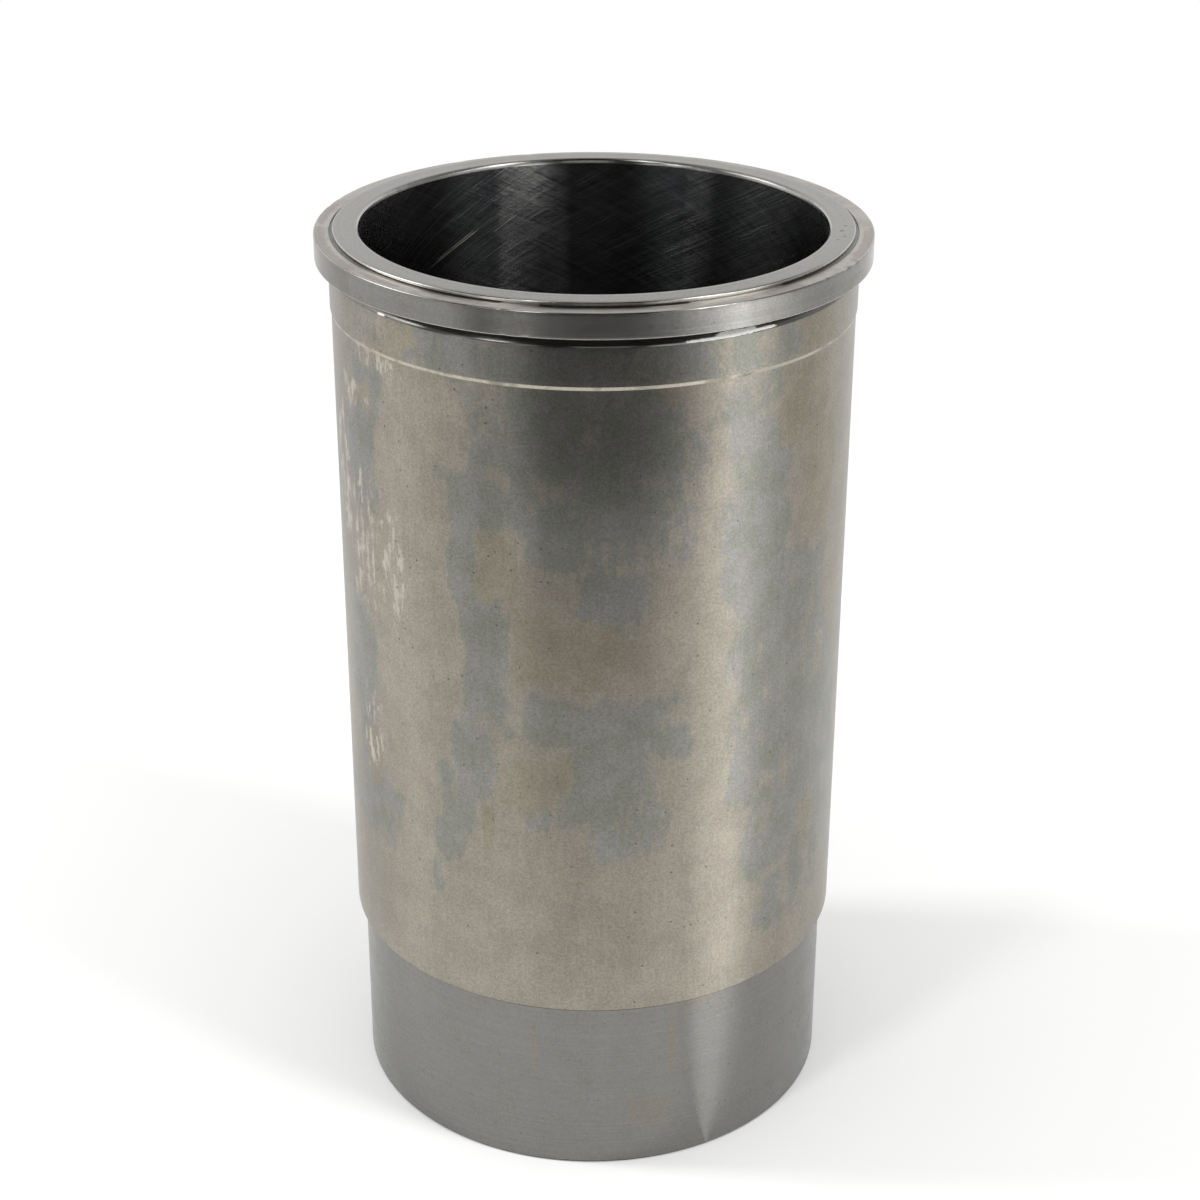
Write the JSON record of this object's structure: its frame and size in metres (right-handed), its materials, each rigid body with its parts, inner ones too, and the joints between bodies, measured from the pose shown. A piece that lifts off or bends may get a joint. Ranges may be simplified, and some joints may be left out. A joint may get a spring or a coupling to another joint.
{
  "type": "cylinder liner",
  "caption": "Turned iron sleeve with a honed bore, a thin top flange carrying a raised sealing ring, a fitting band below it and a reduced lower spigot.",
  "frame": {"origin": "centre of the bottom face, on the bore's axis", "axes": "+Z along the bore's axis, from the bottom face up to the sealing ring"},
  "size_m": [0.1252, 0.1252, 0.217],
  "materials": {
    "liner_iron": "fine-turned and honed grey iron with faint oxide stains"
  },
  "bodies": {
    "root": {"cylinder_liner": "liner_iron"}
  },
  "joints": []
}
